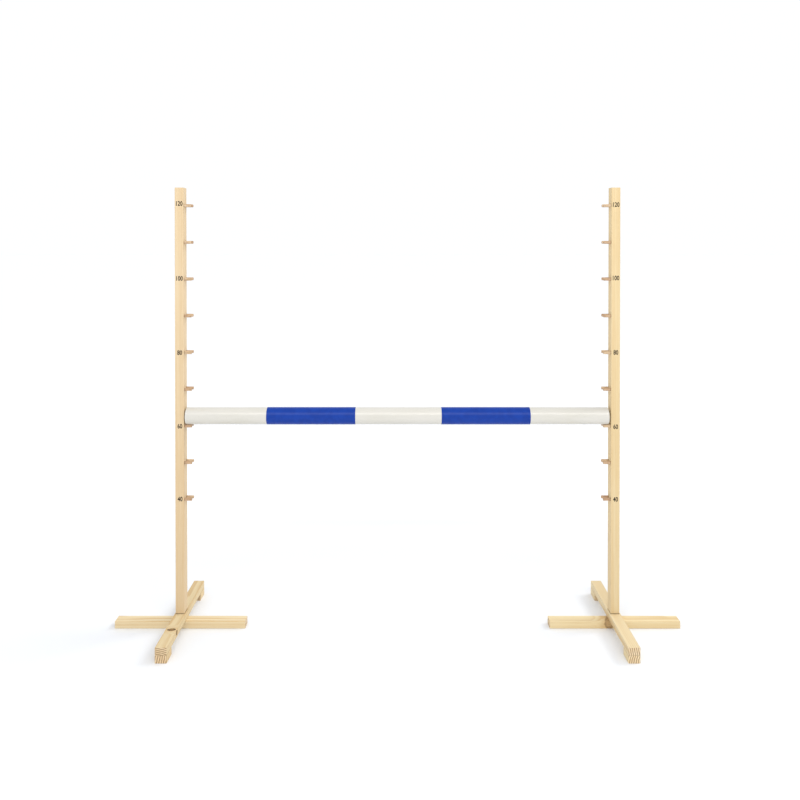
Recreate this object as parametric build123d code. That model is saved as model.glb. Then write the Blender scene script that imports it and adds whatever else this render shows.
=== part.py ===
# Practice jump: two free-standing timber stands and one loose round pole.
#
# Each stand is a post on a cross of two rails. The lower rail lies flat on the floor, along the
# pole. The upper rail lies across it, front to rear, with a foot block of the lower rail's
# thickness under each end. Pairs of dowel pegs on the inner face of the post make nine cradles,
# and the pole rests in the same cradle of both stands. The top of the pole is then as many
# centimetres above the floor as the number of that cradle says.
#
# Origin: on the floor, midway between the stands. +X runs along the pole, +Y to the rear and
# +Z up. All sizes are in millimetres.
from build123d import *
import math
import os

# ---- stands ------------------------------------------------------------------------------
STAND_GAP = 1160.0          # clear width between the inner faces of the two posts
STAND_HEIGHT = 1200.0       # floor to the top of a post
POST_WIDTH = 24.0           # along the pole
POST_DEPTH = 30.0           # front to rear
RAIL_LENGTH = 355.0
RAIL_WIDTH = 30.0
RAIL_HEIGHT = 20.0          # thickness of both rails and of the foot blocks
FOOT_LENGTH = 40.0
LONG_EDGE_RADIUS = 1.2      # eased edges along the grain
END_EDGE_CHAMFER = 0.5      # broken edges round a sawn end

# ---- pegs --------------------------------------------------------------------------------
LEVELS = range(40, 121, 10)     # centimetre numbers of the cradles, bottom to top
PEG_RADIUS = 4.0
PEG_LENGTH = 40.0
PEG_EMBED = 20.0            # length of a peg inside the post
PEG_ROOT_RADIUS = 3.8       # inside the post, where the flutes are pressed down into the glue
PEG_SPREAD = 9.0            # peg axis to the middle of the post, front and rear
PEG_CHAMFER = 0.8
PEG_HOLE_PLAY = 0.05        # glue line round a peg
PEG_HOLE_SPARE = 1.0        # depth of hole behind a peg

# ---- pole --------------------------------------------------------------------------------
POLE_LEVEL = 60
POLE_RADIUS = 23.0
POLE_LENGTH = 1150.0
POLE_SHIFT = -1.0           # the loose pole lies this much nearer the left-hand post
POLE_END_RADIUS = 1.5
SEAT_GAP = 0.3              # running clearance between the pole and the pegs under it
BAND_LENGTH = 241.0
BAND_CENTRES = (-234.0, 241.0)  # from the middle of the pole; laid on by eye, so a little off
BAND_THICKNESS = 0.25       # adhesive film

# ---- screws: shank diameter, head diameter, length ----------------------------------------
POST_SCREW = (5.0, 9.6, 80.0)
FOOT_SCREW = (3.5, 7.0, 35.0)
POST_SCREW_SPREAD = 7.5     # screw axis to the middle of the post, front and rear
SCREW_SINK = 0.5            # head below the underside of the timber
HEAD_RIM = 0.4              # straight rim of a countersunk head
RECESS_WIDTH = 0.9          # one slot of the cross recess
RECESS_SPAN = 0.55          # length of a slot, as a share of the head diameter
RECESS_DEPTH = 2.2

# ---- worked out ----------------------------------------------------------------------------
BASE_HEIGHT = 2 * RAIL_HEIGHT
POST_X = STAND_GAP / 2 + POST_WIDTH / 2
FOOT_Y = RAIL_LENGTH / 2 - FOOT_LENGTH / 2
SEAT_DISTANCE = POLE_RADIUS + PEG_RADIUS + SEAT_GAP
SEAT_RISE = math.sqrt(SEAT_DISTANCE ** 2 - PEG_SPREAD ** 2)     # peg axis up to the pole's axis


def pole_height(level):
    """Height of the pole's axis when it rests at a level."""
    return level * 10 - POLE_RADIUS


def peg_height(level):
    """Height of the two peg axes of a level."""
    return pole_height(level) - SEAT_RISE


def board(size, centre, bottom, grain):
    """A planed length of timber with eased long edges and broken end edges."""
    blank = Box(*size, align=(Align.CENTER, Align.CENTER, Align.MIN))
    eased = fillet(blank.edges().filter_by(grain), LONG_EDGE_RADIUS)
    ends = [eased.faces().sort_by(grain)[0], eased.faces().sort_by(grain)[-1]]
    end_edges = ShapeList([edge for face in ends for edge in face.edges()])
    broken = chamfer(end_edges, END_EDGE_CHAMFER)
    return Pos(centre[0], centre[1], bottom) * broken


def upright_cylinder(radius, low, high):
    """A cylinder on the Z axis between two heights."""
    return Pos(0, 0, low) * Cylinder(radius, high - low, align=(Align.CENTER, Align.CENTER, Align.MIN))


def screw_blank(kind):
    """Outline of a countersunk screw that stands on its head at the origin, without its recess."""
    shank, head, length = (kind[0] / 2, kind[1] / 2, kind[2])
    neck = HEAD_RIM + head - shank
    tip = length - 2 * kind[0]
    outline = Polyline(
        (0, 0, 0), (head, 0, 0), (head, 0, HEAD_RIM), (shank, 0, neck),
        (shank, 0, tip), (0, 0, length), close=True)
    return revolve(make_face(outline), Axis.Z)


def screw(kind, x, y):
    """A countersunk screw driven up from below at x, y, with a cross recess in its head."""
    span = kind[1] * RECESS_SPAN
    slot = Box(span, RECESS_WIDTH, RECESS_DEPTH, align=(Align.CENTER, Align.CENTER, Align.MIN))
    cross = slot + Rot(0, 0, 90) * slot
    return Pos(x, y, SCREW_SINK) * (screw_blank(kind) - cross)


def screw_hole(kind, x, y):
    """The countersunk hole that a screw leaves in the timber, open at the underside."""
    sink = upright_cylinder(kind[1] / 2, -SCREW_SINK, 0)
    return Pos(x, y, SCREW_SINK) * (screw_blank(kind) + sink)


def at_post_face(side, y, z):
    """A place on the inner face of a post, looking at the other stand."""
    return Plane(origin=(side * STAND_GAP / 2, y, z), z_dir=(-side, 0, 0))


def peg(side, y, z):
    """One dowel peg with chamfered ends: a root inside the post, and a full-size free end."""
    root = upright_cylinder(PEG_ROOT_RADIUS, -PEG_EMBED, 0)
    free = upright_cylinder(PEG_RADIUS, 0, PEG_LENGTH - PEG_EMBED)
    rims = (root + free).edges().filter_by(GeomType.CIRCLE).sort_by(Axis.Z)
    return at_post_face(side, y, z) * chamfer([rims[0], rims[-1]], PEG_CHAMFER)


def peg_hole(side, y, z):
    """The blind hole of one peg, open at the inner face of the post."""
    hole = upright_cylinder(PEG_ROOT_RADIUS + PEG_HOLE_PLAY, -PEG_EMBED - PEG_HOLE_SPARE, 0)
    return at_post_face(side, y, z) * hole


def stand(name, side):
    """All pieces of one stand by node name; side is -1 for the left stand and 1 for the right."""
    post_x = side * POST_X
    rows = {"front": -PEG_SPREAD, "rear": PEG_SPREAD}
    feet = {"front": -FOOT_Y, "rear": FOOT_Y}
    post_screws = [(post_x, -POST_SCREW_SPREAD), (post_x, POST_SCREW_SPREAD)]
    foot_screws = [(post_x, y) for y in feet.values()]
    post_screw_holes = [screw_hole(POST_SCREW, *place) for place in post_screws]
    foot_screw_holes = [screw_hole(FOOT_SCREW, *place) for place in foot_screws]
    peg_holes = [peg_hole(side, y, peg_height(level)) for y in rows.values() for level in LEVELS]

    post = board((POST_WIDTH, POST_DEPTH, STAND_HEIGHT - BASE_HEIGHT), (post_x, 0), BASE_HEIGHT, Axis.Z)
    lower_rail = board((RAIL_LENGTH, RAIL_WIDTH, RAIL_HEIGHT), (post_x, 0), 0, Axis.X)
    upper_rail = board((RAIL_WIDTH, RAIL_LENGTH, RAIL_HEIGHT), (post_x, 0), RAIL_HEIGHT, Axis.Y)
    pieces = {
        f"{name}_post": post - peg_holes - post_screw_holes,
        f"{name}_lower_rail": lower_rail - post_screw_holes,
        f"{name}_upper_rail": upper_rail - post_screw_holes - foot_screw_holes,
        f"{name}_post_screws": Compound([screw(POST_SCREW, *place) for place in post_screws]),
        f"{name}_foot_screws": Compound([screw(FOOT_SCREW, *place) for place in foot_screws]),
    }
    for end, y in feet.items():
        foot = board((RAIL_WIDTH, FOOT_LENGTH, RAIL_HEIGHT), (post_x, y), 0, Axis.Y)
        pieces[f"{name}_{end}_foot"] = foot - foot_screw_holes
    for row, y in rows.items():
        for level in LEVELS:
            pieces[f"{name}_{row}_peg_{level:03d}"] = peg(side, y, peg_height(level))
    return pieces


def along_pole(centre, radius, length):
    """A cylinder on the resting pole's axis; centre is measured from the middle of the pole."""
    place = Plane(origin=(POLE_SHIFT + centre, 0, pole_height(POLE_LEVEL)), z_dir=(1, 0, 0))
    return place * Cylinder(radius, length)


def pole():
    """The turned pole, with rounded rims at both ends."""
    blank = along_pole(0, POLE_RADIUS, POLE_LENGTH)
    return fillet(blank.edges().filter_by(GeomType.CIRCLE), POLE_END_RADIUS)


def band(centre):
    """One coloured band: a sleeve of thin film round the pole."""
    outside = along_pole(centre, POLE_RADIUS + BAND_THICKNESS, BAND_LENGTH)
    return outside - along_pole(centre, POLE_RADIUS, BAND_LENGTH)


def main():
    pieces = {
        **stand("left", -1),
        **stand("right", 1),
        "pole": pole(),
        "left_band": band(BAND_CENTRES[0]),
        "right_band": band(BAND_CENTRES[1]),
    }
    os.makedirs("parts", exist_ok=True)
    for name, shape in pieces.items():
        export_step(shape, f"parts/{name}.step")


main()
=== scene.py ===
"""Looks of the practice jump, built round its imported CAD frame. Metres, +Z up, +Y to the rear."""
import math
import random

import bmesh
import bpy
from mathutils import Matrix, Vector, noise


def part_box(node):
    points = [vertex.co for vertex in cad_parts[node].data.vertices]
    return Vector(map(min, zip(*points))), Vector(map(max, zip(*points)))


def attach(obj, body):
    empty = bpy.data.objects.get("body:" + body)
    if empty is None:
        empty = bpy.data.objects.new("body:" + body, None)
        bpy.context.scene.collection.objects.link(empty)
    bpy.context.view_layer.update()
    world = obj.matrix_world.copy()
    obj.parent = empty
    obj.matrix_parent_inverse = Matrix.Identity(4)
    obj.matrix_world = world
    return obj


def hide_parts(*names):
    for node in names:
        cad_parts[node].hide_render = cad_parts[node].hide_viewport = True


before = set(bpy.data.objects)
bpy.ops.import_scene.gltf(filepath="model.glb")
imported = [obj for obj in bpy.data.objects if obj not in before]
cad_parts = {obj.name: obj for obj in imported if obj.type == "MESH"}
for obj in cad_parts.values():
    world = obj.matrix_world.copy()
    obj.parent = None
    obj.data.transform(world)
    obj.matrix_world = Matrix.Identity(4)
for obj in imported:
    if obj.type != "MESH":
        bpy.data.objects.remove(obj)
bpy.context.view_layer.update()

MM = 0.001
SIDES = ("left", "right")
AXES = {"X": Vector((1, 0, 0)), "Y": Vector((0, 1, 0)), "Z": Vector((0, 0, 1))}


def centre_of(node):
    """Middle of a CAD node's box."""
    low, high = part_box(node)
    return (low + high) / 2


def srgb(red, green, blue):
    """Linear colour of an sRGB triple from 0 to 255."""
    def channel(value):
        value /= 255
        return value / 12.92 if value <= 0.04045 else ((value + 0.055) / 1.055) ** 2.4
    return (channel(red), channel(green), channel(blue), 1)


# ---- node graphs ---------------------------------------------------------------------------

class Graph:
    """A material's node tree. Each call adds a node and gives its output socket."""

    def __init__(self, name):
        self.material = bpy.data.materials.new(name)
        self.material.use_nodes = True
        self.tree = self.material.node_tree
        self.shader = self.tree.nodes["Principled BSDF"]

    def feed(self, socket, value):
        """Links a socket to another, or sets its value."""
        if isinstance(value, bpy.types.NodeSocket):
            self.tree.links.new(value, socket)
        else:
            socket.default_value = value

    def node(self, kind, inputs=None, output=0, **settings):
        made = self.tree.nodes.new("ShaderNode" + kind)
        for key, value in settings.items():
            setattr(made, key, value)
        for key, value in (inputs or {}).items():
            self.feed(made.inputs[key], value)
        return made.outputs[output]

    def math(self, operation, first, second=0.0):
        return self.node("Math", {0: first, 1: second}, operation=operation)

    def vector(self, operation, first, second=(0, 0, 0), output=0):
        return self.node("VectorMath", {0: first, 1: second}, output, operation=operation)

    def scaled(self, vector, factors):
        return self.vector("MULTIPLY", vector, factors)

    def noise(self, vector, detail=2.0, roughness=0.5, output=0):
        inputs = {"Vector": vector, "Scale": 1.0, "Detail": detail, "Roughness": roughness}
        return self.node("TexNoise", inputs, output)

    def ramp(self, value, low, high, start=0.0, end=1.0):
        """A smooth step from start to end as value goes from low to high."""
        inputs = {0: value, 1: low, 2: high, 3: start, 4: end}
        return self.node("MapRange", inputs, interpolation_type="SMOOTHSTEP")

    def mix(self, share, first, second, blend="MIX"):
        """A colour mix."""
        inputs = {0: share, 6: first, 7: second}
        return self.node("Mix", inputs, 2, data_type="RGBA", blend_type=blend)

    def place(self):
        """Position in the row frame, which moves with the piece."""
        return self.node("TexCoord", output=3)

    def local(self, origin, grain):
        """Position from an origin, with the grain turned to Z."""
        parts = self.tree.nodes.new("ShaderNodeSeparateXYZ")
        self.feed(parts.inputs[0], self.vector("SUBTRACT", self.place(), tuple(origin)))
        order = {"X": (1, 2, 0), "Y": (0, 2, 1), "Z": (0, 1, 2)}[grain]
        return self.node("CombineXYZ", {i: parts.outputs[axis] for i, axis in enumerate(order)})

    def facing(self, grain):
        """How squarely the surface faces along the grain, from 0 to 1."""
        normal = self.node("TexCoord", output=1)
        across = self.vector("DOT_PRODUCT", normal, tuple(AXES[grain]), output=1)
        return self.math("ABSOLUTE", across)

    def set(self, **sockets):
        """Sets or links the shader's own sockets; underscores stand for spaces."""
        for key, value in sockets.items():
            self.feed(self.shader.inputs[key.replace("_", " ")], value)

    def bump(self, *layers):
        """Bumps from (height, distance in metres) layers, in order."""
        normal = None
        for height, distance in layers:
            inputs = {"Height": height, "Distance": distance, "Strength": 1.0}
            if normal is not None:
                inputs["Normal"] = normal
            normal = self.node("Bump", inputs)
        self.feed(self.shader.inputs["Normal"], normal)


# ---- pine ----------------------------------------------------------------------------------

EARLY_WOOD = srgb(224, 203, 162)
LATE_WOOD = srgb(202, 165, 109)
END_EARLY = srgb(234, 209, 168)
END_LATE = srgb(134, 96, 64)
KNOT_RIM = srgb(70, 46, 26)
GAP_SHADE = srgb(74, 50, 30)


def knot_distance(g, place, knot, wobble):
    """Distance from a knot's axis in knot radii, with an uneven outline."""
    away = g.vector("SUBTRACT", place, tuple(knot["place"]))
    along = g.vector("DOT_PRODUCT", away, tuple(knot["axis"]), output=1)
    on_axis = g.node("VectorMath", {0: tuple(knot["axis"]), 3: along}, operation="SCALE")
    across = g.vector("LENGTH", g.vector("SUBTRACT", away, on_axis), output=1)
    distance = g.math("DIVIDE", across, knot["radius"])
    return g.math("ADD", distance, g.math("MULTIPLY", wobble, 0.5))


def pine(name, origin, grain, pith, ring, seed, late, tint, knots, seams):
    """Planed pine: growth rings round a pith beside the board, so its faces and ends agree.

    pith is the place of the ring centre from the board's middle, across the grain, and ring the
    mean width of a year. late is how strongly the rings show on the faces, and tint scales the
    colour. Each seam is (height, width, depth): a dark line of painted gap shade where another
    board meets this one at that height."""
    g = Graph(name)
    place = g.place()
    local = g.local(origin, grain)
    shifted = g.vector("ADD", local, (seed, 2.7 * seed, 1.3 * seed))
    drift = g.noise(g.scaled(shifted, (7, 7, 1.9)), 2, output=1)
    wander = g.vector("SUBTRACT", drift, (0.5, 0.5, 0.5))
    bent = g.vector("ADD", local, g.scaled(wander, (0.012, 0.012, 0)))
    from_pith = g.scaled(g.vector("SUBTRACT", bent, (pith[0], pith[1], 0)), (1, 1, 0))
    radius = g.vector("LENGTH", from_pith, output=1)
    ripple = g.math("SUBTRACT", g.noise(g.scaled(shifted, (90, 90, 9)), 3), 0.5)
    rings = g.math("ADD", g.math("DIVIDE", radius, ring), g.math("MULTIPLY", ripple, 0.7))

    distances = []
    for knot in knots:
        wobble = g.math("SUBTRACT", g.noise(g.scaled(shifted, (210, 210, 150)), 2), 0.5)
        distance = knot_distance(g, place, knot, wobble)
        rings = g.math("ADD", rings, g.ramp(distance, 0.8, 4.2, knot["push"], 0.0))
        distances.append(distance)

    share = g.math("FRACT", rings)
    year = g.math("FLOOR", rings)
    strength = g.node("TexWhiteNoise", {"W": g.math("ADD", year, seed * 100)},
                      noise_dimensions="1D")
    rise = g.ramp(share, 0.35, 0.85)
    fall = g.ramp(share, 0.93, 1.0, 1.0, 0.0)
    band = g.math("MULTIPLY", g.math("MULTIPLY", rise, fall), g.ramp(strength, 0.0, 1.0, 0.5, 1.0))
    end_band = g.math("MULTIPLY", g.ramp(share, 0.2, 0.7), g.ramp(share, 0.92, 1.0, 1.0, 0.0))

    end = g.ramp(g.facing(grain), 0.6, 0.9)
    fibre = g.noise(g.scaled(shifted, (1400, 1400, 22)), 3, 0.6)
    streak = g.noise(g.scaled(shifted, (110, 110, 1.6)), 3, 0.55)
    dash = g.ramp(g.noise(g.scaled(shifted, (1500, 1500, 45)), 1), 0.70, 0.78)
    cloud = g.noise(g.scaled(shifted, (30, 30, 5)), 2)

    face_colour = g.mix(g.math("MULTIPLY", band, 0.55 * late), EARLY_WOOD, LATE_WOOD)
    face_colour = g.mix(g.math("MULTIPLY", dash, 0.35), face_colour, LATE_WOOD)
    end_colour = g.mix(g.math("MULTIPLY", end_band, 0.74), END_EARLY, END_LATE)
    colour = g.mix(end, face_colour, end_colour)
    tone = g.math("MULTIPLY", g.ramp(streak, 0.25, 0.75, 0.92, 1.05),
                  g.ramp(fibre, 0.2, 0.8, 0.95, 1.04))
    tone = g.math("MULTIPLY", tone, g.ramp(cloud, 0.3, 0.7, 0.97, 1.02))
    warm_shade = {0: g.math("POWER", tone, 0.55), 1: tone, 2: g.math("POWER", tone, 1.7)}
    shade = g.node("CombineXYZ", warm_shade)
    colour = g.mix(1.0, colour, g.scaled(shade, tint), "MULTIPLY")

    for knot, distance in zip(knots, distances):
        rings_in_knot = g.math("FRACT", g.math("MULTIPLY", distance, 3.3))
        heart = g.mix(g.math("MULTIPLY", rings_in_knot, knot["rings"]), knot["heart"], KNOT_RIM)
        rim = g.math("MULTIPLY", g.ramp(distance, 0.5, 0.8), g.ramp(distance, 0.98, 1.12, 1.0, 0.0))
        heart = g.mix(g.math("MULTIPLY", rim, knot["rim"]), heart, KNOT_RIM)
        colour = g.mix(g.ramp(distance, 1.0, 2.6, 0.45, 0.0), colour, LATE_WOOD)
        colour = g.mix(g.ramp(distance, 0.96, 1.08, knot["depth"], 0.0), colour, heart)

    height = g.node("SeparateXYZ", {0: place}, output=2)
    # Painted gap shade: a dark line along each seam, where the boards meet flush
    for level, width, depth in seams:
        from_seam = g.math("ABSOLUTE", g.math("SUBTRACT", height, level))
        ragged = g.math("MULTIPLY", g.noise(g.scaled(shifted, (160, 160, 160)), 2), width)
        colour = g.mix(g.ramp(from_seam, ragged, 1.5 * width, depth, 0.0), colour, GAP_SHADE)

    rough = g.ramp(band, 0.0, 1.0, 0.66, 0.5)
    g.set(Base_Color=colour, Roughness=rough, IOR=1.45, Specular_IOR_Level=0.32)
    saw = g.noise(g.scaled(place, (260, 260, 900)), 2)
    face_height = g.math("ADD", g.math("MULTIPLY", fibre, 0.6), g.math("MULTIPLY", band, 0.5))
    g.bump((g.node("Mix", {0: end, 2: face_height, 3: g.math("ADD", saw, band)}), 0.00012))
    return g.material


def wear(piece, material):
    """Puts one material on the whole of a piece."""
    if not piece.data.materials:
        piece.data.materials.append(material)
    for index in range(len(piece.material_slots)):
        piece.material_slots[index].material = material


def upper_rail_knot():
    """A spike knot in front of the post: long in the top of the rail, round in its right side."""
    return {"place": centre_of("left_upper_rail") + Vector((1.5, -94, 10)) * MM,
            "axis": Vector((0.86, 0.05, -0.51)).normalized(), "radius": 5.6 * MM,
            "depth": 0.95, "push": 3.4, "heart": srgb(150, 116, 68), "rings": 0.3, "rim": 0.9}


def lower_rail_knot():
    """A broad knot that crosses the front of the right lower rail beside the upper rail."""
    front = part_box("right_lower_rail")[0].y
    middle = centre_of("right_lower_rail")
    return {"place": Vector((middle.x - 16 * MM, front, middle.z + 3 * MM)),
            "axis": Vector((0.08, 0.97, -0.22)).normalized(), "radius": 13 * MM,
            "depth": 0.85, "push": 1.6, "heart": srgb(216, 178, 124), "rings": 0.7, "rim": 0.35}


def board_woods():
    """Every board of both stands, each cut from its own place in the tree."""
    on_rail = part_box("left_post")[0].z
    on_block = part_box("left_front_foot")[1].z
    foot = ((on_rail, 1.5 * MM, 1.0),)      # painted gap shade where the post stands on the upper rail
    block = ((on_block, 0.5 * MM, 0.5),)     # painted gap shade along the glue line over a foot block
    spike, broad = (upper_rail_knot(),), (lower_rail_knot(),)
    # node, grain, pith in metres, width of a year in mm, seed, late, tint, knots, seams
    woods = (
        ("left_post", "Z", (0.055, 0.03), 3.3, 0.31, 0.5, (0.916, 0.899, 0.946), (), foot),
        ("right_post", "Z", (-0.07, 0.045), 3.1, 1.17, 0.6, (0.932, 0.9225, 0.888), (), foot),
        ("left_lower_rail", "X", (0.02, -0.06), 3.6, 2.43, 1.4, (1.037, 1.07, 1.13), (), ()),
        ("right_lower_rail", "X", (0.01, 0.09), 3.4, 3.91, 1.4, (1.046, 1.08, 1.09), broad, ()),
        ("left_upper_rail", "Y", (-0.03, -0.12), 4.9, 4.57, 1.2, (0.93, 0.94, 0.94), spike, ()),
        ("right_upper_rail", "Y", (0.12, 0.03), 5.0, 5.23, 1.2, (1.005, 1.046, 1.10), (), ()),
        ("left_front_foot", "Y", (-0.14, 0.02), 5.9, 6.71, 1.0, (0.98, 0.98, 0.98), (), block),
        ("left_rear_foot", "Y", (0.02, 0.07), 3.4, 7.37, 1.0, (0.98, 0.98, 0.98), (), block),
        ("right_front_foot", "Y", (0.13, -0.03), 5.2, 8.89, 1.0, (1.04, 1.09, 1.12), (), block),
        ("right_rear_foot", "Y", (-0.05, 0.04), 3.4, 9.41, 1.0, (1.04, 1.09, 1.12), (), block),
    )
    for node, grain, pith, ring, *rest in woods:
        material = pine(f"pine_{node}", centre_of(node), grain, pith, ring * MM, *rest)
        wear(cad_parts[node], material)


# ---- other materials -----------------------------------------------------------------------

def beech(name, colour, seed):
    """Fluted beech dowel: reddish, with painted shade in its grooves and short flecks along the
    grain.
    """
    g = Graph(name)
    place = g.vector("ADD", g.place(), (seed, seed, seed))
    fleck = g.ramp(g.noise(g.scaled(place, (240, 2300, 2300)), 2), 0.60, 0.70)
    cloud = g.noise(g.scaled(place, (60, 260, 260)), 3)
    dark = srgb(146, 102, 64)
    groove = g.node("Attribute", output=2, attribute_name="groove")
    body = g.mix(g.ramp(cloud, 0.35, 0.65, 0.0, 0.4), colour, dark)
    body = g.mix(g.math("MULTIPLY", fleck, 0.55), body, dark)
    # Painted shade: darker where the flutes are deepest
    body = g.mix(g.math("MULTIPLY", groove, 0.4), body, srgb(120, 78, 48))
    end = g.ramp(g.facing("X"), 0.5, 0.9)
    pores = g.ramp(g.noise(g.scaled(place, (300, 2600, 2600)), 1), 0.5, 0.66)
    end_colour = g.mix(g.math("MULTIPLY", pores, 0.7), srgb(186, 158, 126), srgb(110, 80, 58))
    colour = g.mix(end, body, end_colour)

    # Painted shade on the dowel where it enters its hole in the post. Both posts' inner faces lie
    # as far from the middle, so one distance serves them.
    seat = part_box("right_post")[0].x
    across = g.math("ABSOLUTE", g.node("SeparateXYZ", {0: g.place()}))
    colour = g.mix(g.ramp(across, seat - 1.6 * MM, seat - 0.4 * MM, 0.0, 0.7), colour, GAP_SHADE)
    g.set(Base_Color=colour, Roughness=0.58, Specular_IOR_Level=0.3)
    g.bump((g.math("SUBTRACT", cloud, fleck), 0.00006))
    return g.material


def white_paint():
    """Satin white enamel over a turned pole: a soft ripple along it and faint dust."""
    g = Graph("white_enamel")
    place = g.place()
    shade = g.ramp(g.noise(g.scaled(place, (9, 30, 30)), 3), 0.3, 0.7, 0.0, 1.0)
    colour = g.mix(shade, srgb(202, 199, 189), srgb(206, 203, 195))
    speck = g.ramp(g.noise(g.scaled(place, (700, 900, 900)), 1), 0.74, 0.80)
    colour = g.mix(g.math("MULTIPLY", speck, 0.22), colour, srgb(188, 180, 164))
    ripple = g.noise(g.scaled(place, (14, 190, 190)), 2)
    peel = g.noise(g.scaled(place, (420, 420, 420)), 2)
    rough = g.ramp(peel, 0.3, 0.7, 0.27, 0.37)
    g.set(Base_Color=colour, Roughness=rough, Coat_Weight=0.32, Coat_Roughness=0.12)
    g.bump((ripple, 0.00022), (peel, 0.00003))
    return g.material


def blue_film():
    """Satin blue adhesive film, with a slight mottle and tiny air bubbles."""
    g = Graph("blue_film")
    place = g.place()
    mottle = g.noise(g.scaled(place, (60, 60, 60)), 3)
    colour = g.mix(g.ramp(mottle, 0.3, 0.7), srgb(10, 52, 141), srgb(14, 58, 151))
    bubble = g.node("TexVoronoi", {"Vector": g.scaled(place, (160, 160, 160)), "Scale": 1.0})
    bubble = g.ramp(bubble, 0.05, 0.16, 1.0, 0.0)
    peel = g.noise(g.scaled(place, (260, 520, 520)), 2)
    g.set(Base_Color=colour, Roughness=g.ramp(peel, 0.3, 0.7, 0.3, 0.36), Specular_IOR_Level=0.2)
    g.bump((mottle, 0.0002), (bubble, 0.00005))
    return g.material


def zinc_plate():
    """Dull yellow-zinc plating on the screws."""
    g = Graph("zinc_plate")
    place = g.place()
    cloud = g.noise(g.scaled(place, (420, 420, 420)), 3)
    colour = g.mix(g.ramp(cloud, 0.3, 0.7), srgb(205, 190, 140), srgb(186, 184, 176))
    g.set(Base_Color=colour, Metallic=1.0, Roughness=g.ramp(cloud, 0.3, 0.7, 0.28, 0.46))
    g.bump((cloud, 0.00003))
    return g.material


def printing_ink():
    """Thin dark printing that lets the grain show where it is worn."""
    g = Graph("printing_ink")
    place = g.place()
    worn = g.ramp(g.noise(g.scaled(place, (1500, 1500, 60)), 2), 0.55, 0.72)
    colour = g.mix(g.math("MULTIPLY", worn, 0.35), srgb(32, 26, 22), srgb(108, 84, 58))
    g.set(Base_Color=colour, Roughness=0.7, Specular_IOR_Level=0.2)
    g.bump((worn, 0.00003))
    return g.material


# ---- meshes --------------------------------------------------------------------------------

def piece_from(name, points, faces, material, smooth=True):
    """A mesh piece from points in the row frame."""
    mesh = bpy.data.meshes.new(name)
    mesh.from_pydata([tuple(point) for point in points], [], faces)
    mesh.validate()
    work = bmesh.new()
    work.from_mesh(mesh)
    bmesh.ops.recalc_face_normals(work, faces=work.faces)
    work.to_mesh(mesh)
    work.free()
    mesh.polygons.foreach_set("use_smooth", [smooth] * len(mesh.polygons))
    mesh.materials.append(material)
    piece = bpy.data.objects.new(name, mesh)
    bpy.context.scene.collection.objects.link(piece)
    return piece


def loft(rings):
    """Points and faces of a closed skin over rings of equally many points, ends included."""
    count = len(rings[0])
    points = [point for ring in rings for point in ring]
    faces = []
    for row in range(len(rings) - 1):
        for i in range(count):
            j = (i + 1) % count
            this, after = row * count, (row + 1) * count
            faces.append((this + i, this + j, after + j, after + i))
    last = (len(rings) - 1) * count
    faces.append(tuple(range(count)))
    faces.append(tuple(range(last, last + count)))
    return points, faces


FLUTES = 20
FLUTE_DEPTH = 0.32 * MM
FLUTE_STEPS = (0.0, 0.5, 1.0, 0.5, 0.0, 0.0)     # groove depth round one flute, as a share
DOWEL_CHAMFER = 0.8 * MM
DOWEL_PRESSED = 0.2 * MM        # how much thinner a dowel is inside its post, in radius
DOWEL_TONES = ((216, 192, 158), (207, 179, 146), (224, 202, 170), (201, 170, 138))
DOWEL_SEED = 1503               # each dowel's tone and turn; picked out of 60 000 for likeness
DOWEL_CREASE = 35               # degrees


def dowel(name, node, side, material, turn):
    """A fluted, chamfered dowel peg in the place of its CAD node."""
    low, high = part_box(node)
    post_low, post_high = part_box(f"{side}_post")
    face = post_high.x if side == "left" else post_low.x
    tip = high.x if side == "left" else low.x
    root = low.x if side == "left" else high.x
    out = 1 if side == "left" else -1
    middle = (low + high) / 2
    radius = (high.z - low.z) / 2
    root_radius = radius - DOWEL_PRESSED
    chamfer = DOWEL_CHAMFER
    stations = (
        (root, root_radius - chamfer, 0.0),
        (root + out * chamfer, root_radius, 0.0),
        (face - out * 0.2 * MM, root_radius, 0.0),
        (face + out * 0.1 * MM, radius, 1.0),
        ((face + tip) / 2, radius, 1.0),
        (tip - out * chamfer * 1.3, radius, 1.0),
        (tip - out * chamfer * 0.55, radius - chamfer * 0.28, 0.8),
        (tip - out * chamfer * 0.12, radius - chamfer * 0.8, 0.2),
        (tip, radius - chamfer * 1.25, 0.0),
    )
    steps = FLUTES * len(FLUTE_STEPS)
    rings = []
    depths = []
    for x, ring_radius, cut in stations:
        ring = []
        for i in range(steps):
            angle = turn + math.tau * i / steps
            depth = cut * FLUTE_STEPS[i % len(FLUTE_STEPS)]
            reach = ring_radius - depth * FLUTE_DEPTH
            ring.append((x, middle.y + reach * math.cos(angle), middle.z + reach * math.sin(angle)))
            depths.append(depth)
        rings.append(ring)
    points, faces = loft(rings)
    piece = piece_from(name, points, faces, material)
    # Groove depth at each point, which the beech material turns into painted shade in the flutes
    piece.data.attributes.new("groove", "FLOAT", "POINT").data.foreach_set("value", depths)
    sharpen(piece, DOWEL_CREASE)
    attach(piece, f"{side}_stand")
    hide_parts(node)


def sharpen(piece, degrees):
    """Marks edges sharper than an angle, so that smooth shading stops there."""
    work = bmesh.new()
    work.from_mesh(piece.data)
    for edge in work.edges:
        edge.smooth = len(edge.link_faces) == 2 and edge.calc_face_angle(0) < math.radians(degrees)
    work.to_mesh(piece.data)
    work.free()


def all_dowels():
    materials = [beech(f"beech_{i}", srgb(*tone), 0.37 * i) for i, tone in enumerate(DOWEL_TONES)]
    chance = random.Random(DOWEL_SEED)
    for node in sorted(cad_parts):
        if "_peg_" in node:
            side = node.split("_")[0]
            name = node.replace("_peg_", "_dowel_")
            dowel(name, node, side, chance.choice(materials), chance.uniform(0, math.tau))


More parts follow.
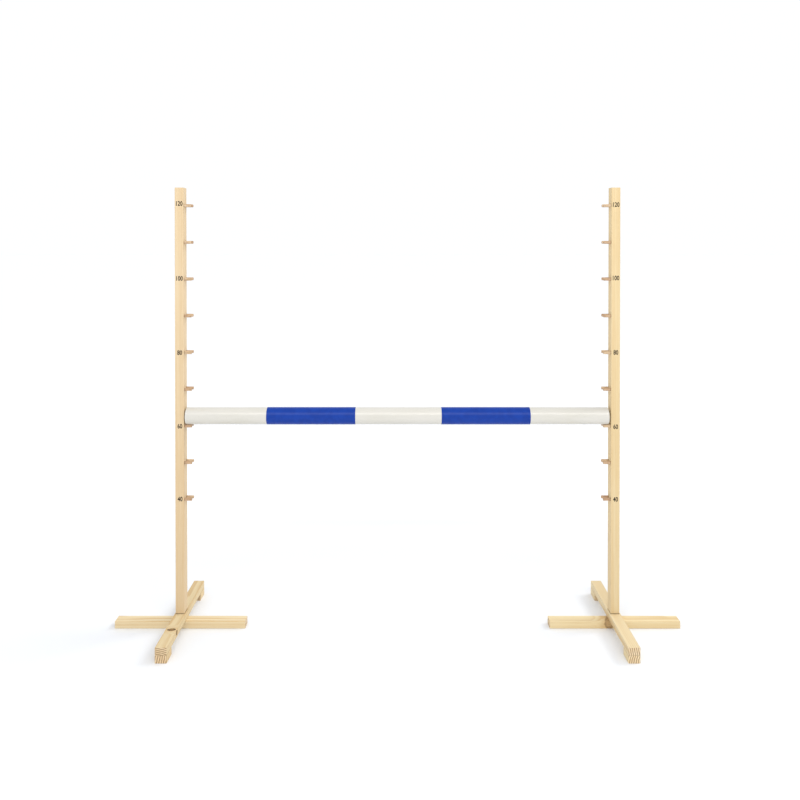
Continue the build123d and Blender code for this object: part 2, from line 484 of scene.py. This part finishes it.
FILM = 0.25 * MM
SEAM_ANGLE = math.radians(-125)     # behind and below, where a fitter would hide it
SEAM_OVERLAP = 8 * MM
FILM_GLUE = 0.02 * MM               # between the pole and the film
FILM_STEPS = 144                    # round the pole
FILM_STATIONS = 13                  # along a band
FILM_WAVER = 0.2 * MM               # how unevenly a band's ends were cut
FILM_CREASE = 40                    # degrees
FILM_SEED = 3.1


def film_sleeve(node, material, seed):
    """A coloured band: film wrapped once round the pole, its end lapped over its start."""
    low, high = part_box(node)
    axis = (low + high) / 2
    pole_low, pole_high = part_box("pole")
    inner = (pole_high.z - pole_low.z) / 2 + FILM_GLUE
    lap = SEAM_OVERLAP / inner
    turn = math.tau + lap

    def height(angle):
        """Rise of the film over the pole: one film higher where it laps over its start."""
        ease = min(max((angle - (math.tau - lap)) / (0.6 * lap), 0), 1)
        return inner + FILM * 1.05 * ease * ease * (3 - 2 * ease)

    section = []
    for i in range(FILM_STEPS + 1):
        angle = turn * i / FILM_STEPS
        section.append((angle, height(angle)))
    outline = [(a, r + FILM) for a, r in section] + [(a, r) for a, r in reversed(section)]

    rings = []
    for k in range(FILM_STATIONS):
        share = k / (FILM_STATIONS - 1)
        at_end = share in (0, 1)
        ring = []
        for a, r in outline:
            spot = Vector((math.cos(a) * 1.7, math.sin(a) * 1.7, seed + share))
            waver = noise.noise(spot) if at_end else 0
            inward = 1 if share == 0 else -1
            x = low.x + (high.x - low.x) * share + (FILM_WAVER * waver * inward)
            angle = a + SEAM_ANGLE
            ring.append((x, axis.y - r * math.cos(angle), axis.z + r * math.sin(angle)))
        rings.append(ring)
    points, faces = loft(rings)
    piece = piece_from(node + "_film", points, faces, material)
    sharpen(piece, FILM_CREASE)
    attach(piece, "pole")
    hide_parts(node)


DIGIT_HEIGHT = 12.9 * MM
DIGIT_SQUEEZE = 0.76
DIGIT_BOLD = 0.026          # as a share of the type size
DIGIT_SPACING = 1.04
INK_HEIGHT = 0.05 * MM
LABELS = (40, 60, 80, 100, 120)
INK_ROOT = 0.02 * MM        # how far the ink reaches into the wood
LABEL_RISE = {"left": (2.6, 1.1, 0.9, 2.4, 5.4), "right": (1.7, -0.5, 1.5, 3.5, 2.5)}
LABEL_SHIFT = {"left": 1.0 * MM, "right": 0.3 * MM}


def label(side, level, rise, material):
    """A printed centimetre number on the front face of a post."""
    words = bpy.data.curves.new("label", "FONT")
    words.body = str(level)
    words.align_x = "CENTER"
    words.align_y = "CENTER"
    words.size = 1.0
    words.offset = DIGIT_BOLD
    words.resolution_u = 6
    words.space_character = DIGIT_SPACING
    source = bpy.data.objects.new("label", words)
    bpy.context.scene.collection.objects.link(source)
    bpy.context.view_layer.update()
    graph = bpy.context.evaluated_depsgraph_get()
    mesh = bpy.data.meshes.new_from_object(source.evaluated_get(graph))
    bpy.data.objects.remove(source)
    work = bmesh.new()
    work.from_mesh(mesh)
    bmesh.ops.remove_doubles(work, verts=work.verts, dist=1e-5)
    ys = [vert.co.y for vert in work.verts]
    xs = [vert.co.x for vert in work.verts]
    scale = DIGIT_HEIGHT / (max(ys) - min(ys))
    middle_x, middle_y = (max(xs) + min(xs)) / 2, (max(ys) + min(ys)) / 2
    post_low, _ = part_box(f"{side}_post")
    peg = centre_of(f"{side}_front_peg_{level:03d}")
    x0 = centre_of(f"{side}_post").x + LABEL_SHIFT[side]
    z0 = peg.z + rise * MM
    for vert in work.verts:
        x, y = vert.co.x - middle_x, vert.co.y - middle_y
        vert.co = (x0 + x * scale * DIGIT_SQUEEZE, post_low.y - INK_HEIGHT, z0 + y * scale)
    made = bmesh.ops.extrude_face_region(work, geom=work.faces[:])
    for item in made["geom"]:
        if isinstance(item, bmesh.types.BMVert):
            item.co.y = post_low.y + INK_ROOT
    bmesh.ops.recalc_face_normals(work, faces=work.faces)
    work.to_mesh(mesh)
    work.free()
    mesh.materials.clear()
    mesh.materials.append(material)
    piece = bpy.data.objects.new(f"{side}_number_{level:03d}", mesh)
    bpy.context.scene.collection.objects.link(piece)
    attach(piece, f"{side}_stand")


def all_labels():
    ink = printing_ink()
    for side in SIDES:
        for level, rise in zip(LABELS, LABEL_RISE[side]):
            label(side, level, rise, ink)


# ---- studio --------------------------------------------------------------------------------

CAMERA_PLACE = (0, -1.990, 1.0674)      # in metres
FOCAL = 0.9112                          # as a share of the picture's side
SENSOR = 36.0                           # in mm
SHIFT = (0.0031, -0.1967)               # as shares of the picture's side
TILT = 0.0085                           # radians downward


def camera():
    lens = bpy.data.cameras.new("camera")
    lens.sensor_width = SENSOR
    lens.lens = FOCAL * SENSOR
    lens.shift_x, lens.shift_y = SHIFT
    view = bpy.data.objects.new("camera", lens)
    turned = Matrix.Rotation(math.pi / 2 - TILT, 4, "X")
    view.matrix_world = Matrix.Translation(CAMERA_PLACE) @ turned
    bpy.context.scene.collection.objects.link(view)
    bpy.context.scene.camera = view


def lamp(name, kind, place, target, energy, colour, **settings):
    """A light at a place, shining at a target."""
    light = bpy.data.lights.new(name, kind)
    light.energy = energy
    light.color = colour
    for key, value in settings.items():
        setattr(light, key, value)
    holder = bpy.data.objects.new(name, light)
    holder.location = place
    holder.rotation_euler = (Vector(target) - Vector(place)).to_track_quat("-Z", "Y").to_euler()
    bpy.context.scene.collection.objects.link(holder)


FLOOR_REACH = 40.0          # from the middle of the floor to each edge
FLOOR_TONES = ((0.832, 0.847, 0.872, 1), (0.852, 0.867, 0.892, 1))
FAR_FLOOR = (0.97, 0.975, 0.985, 1)     # paler, where the lamps no longer reach
FLOOR_SCALE = (1.0, 2.0, 0.0)           # the near part is twice as wide as it is deep
FLOOR_FADE = (0.9, 2.0)                 # where it goes from near to far, in that scale


def floor():
    """A plain pale floor with a breath of tone, paler away from the object."""
    g = Graph("studio_floor")
    cloud = g.noise(g.scaled(g.place(), (1.5, 1.5, 1.5)), 2)
    away = g.vector("LENGTH", g.scaled(g.place(), FLOOR_SCALE), output=1)
    near = g.mix(cloud, *FLOOR_TONES)
    g.set(Base_Color=g.mix(g.ramp(away, *FLOOR_FADE), near, FAR_FLOOR), Roughness=0.9,
          Specular_IOR_Level=0.1)
    points = [(-FLOOR_REACH, -FLOOR_REACH, 0), (FLOOR_REACH, -FLOOR_REACH, 0),
              (FLOOR_REACH, FLOOR_REACH, 0), (-FLOOR_REACH, FLOOR_REACH, 0)]
    plane = piece_from("studio_floor", points, [(0, 1, 2, 3)], g.material, smooth=False)


LOW_SKY = (1.0, 1.02, 1.06, 1)      # white walls round the set
RIGHT_SKY = (0.76, 0.775, 0.80, 1)  # the wall on the right stands further off
HIGH_SKY = (0.76, 0.78, 0.81, 1)    # a dimmer ceiling
WALL_TOP = (0.40, 0.70)             # heights on the unit sphere where the walls fade out
RIGHT_SIDE = (0.5, 0.95)            # where the right wall fades in, going right


def surroundings():
    """Soft light from the walls and the ceiling, as a world colour by direction."""
    world = bpy.data.worlds.new("studio")
    world.use_nodes = True
    tree = world.node_tree
    parts = tree.nodes.new("ShaderNodeSeparateXYZ")
    tree.links.new(tree.nodes.new("ShaderNodeTexCoord").outputs["Generated"], parts.inputs[0])

    def fade(direction, limits, first, second):
        """A colour that goes smoothly from first to second along one direction."""
        step = tree.nodes.new("ShaderNodeMapRange")
        step.interpolation_type = "SMOOTHSTEP"
        tree.links.new(parts.outputs[direction], step.inputs[0])
        step.inputs[1].default_value, step.inputs[2].default_value = limits
        mix = tree.nodes.new("ShaderNodeMix")
        mix.data_type = "RGBA"
        tree.links.new(step.outputs[0], mix.inputs[0])
        for socket, colour in ((mix.inputs[6], first), (mix.inputs[7], second)):
            if isinstance(colour, bpy.types.NodeSocket):
                tree.links.new(colour, socket)
            else:
                socket.default_value = colour
        return mix.outputs[2]

    walls = fade(0, RIGHT_SIDE, LOW_SKY, RIGHT_SKY)
    sky = fade(2, WALL_TOP, walls, HIGH_SKY)
    tree.links.new(sky, tree.nodes["Background"].inputs[0])
    bpy.context.scene.world = world


LAMP_COLOUR = (1.0, 0.97, 0.92)
LAMP_TARGET = (0.25, 0, 0.577)          # about the middle of the object, a little to the right
KEY_ANGLE = math.radians(25)            # how soft the key's shadows are


def studio():
    surroundings()
    view = bpy.context.scene.view_settings
    view.view_transform, view.look = "Standard", "None"
    lamp("key", "SUN", (1.3, 0.3, 1.3), (0, 0, 0), 0.97, LAMP_COLOUR, angle=KEY_ANGLE)
    lamp("strip", "AREA", (0.25, -2.0, 2.15), LAMP_TARGET, 21.2, LAMP_COLOUR,
         shape="RECTANGLE", size=3.0, size_y=0.2)
    lamp("soft_box", "AREA", (0.25, -1.85, 2.6), LAMP_TARGET, 11.4, LAMP_COLOUR,
         shape="RECTANGLE", size=3.0, size_y=1.1)
    floor()
    camera()


def main():
    board_woods()
    wear(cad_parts["pole"], white_paint())
    film = blue_film()
    for seed, node in enumerate(("left_band", "right_band")):
        film_sleeve(node, film, FILM_SEED + seed)
    zinc = zinc_plate()
    for node in sorted(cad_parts):
        if node.endswith("_screws"):
            wear(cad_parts[node], zinc)
    all_dowels()
    all_labels()
    studio()


main()
